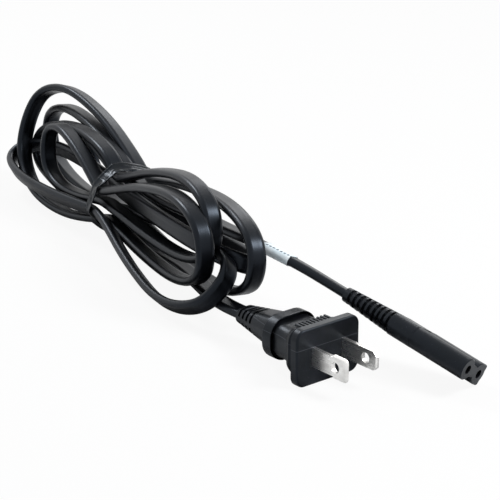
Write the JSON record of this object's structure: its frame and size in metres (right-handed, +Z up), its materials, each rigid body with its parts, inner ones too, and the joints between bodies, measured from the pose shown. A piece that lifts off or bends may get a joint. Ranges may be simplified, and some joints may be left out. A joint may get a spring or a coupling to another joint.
{
  "type": "power cord",
  "caption": "Detachable mains power cord: two-blade plug, flat two-core cord in a tied hank, and a figure-eight appliance connector.",
  "frame": {"origin": "on the table, under the centre of the box round the plug and the connector", "axes": "+X along the plug's blades, from the plug's face towards their tips; +Z up; +Y towards the connector's side"},
  "size_m": [0.2733, 0.07, 0.0477],
  "materials": {
    "cord_pvc": "satin black flexible PVC",
    "carrier_plastic": "moulded, hidden",
    "nickel_plate": "nickel-plated strip",
    "core_pvc": "core insulation",
    "copper": "bare copper strands",
    "contact_brass": "rolled contact tube",
    "tie_film": "glossy black film",
    "label_paper": "pale plain sleeve"
  },
  "bodies": {
    "root": {"plug_body": "cord_pvc", "plug_carrier": "carrier_plastic", "blade_narrow": "nickel_plate", "blade_wide": "nickel_plate", "plug_core_live": "core_pvc", "plug_core_neutral": "core_pvc", "plug_strands_live": "copper", "plug_strands_neutral": "copper", "connector_body": "cord_pvc", "connector_insert": "carrier_plastic", "contact_live": "contact_brass", "contact_neutral": "contact_brass", "contact_strands_live": "copper", "contact_strands_neutral": "copper", "connector_core_live": "core_pvc", "connector_core_neutral": "core_pvc", "cord_plug_lead": "cord_pvc", "cord_connector_lead": "cord_pvc", "cord_hank": "cord_pvc", "tie": "tie_film", "label_sleeve": "label_paper"}
  },
  "joints": []
}
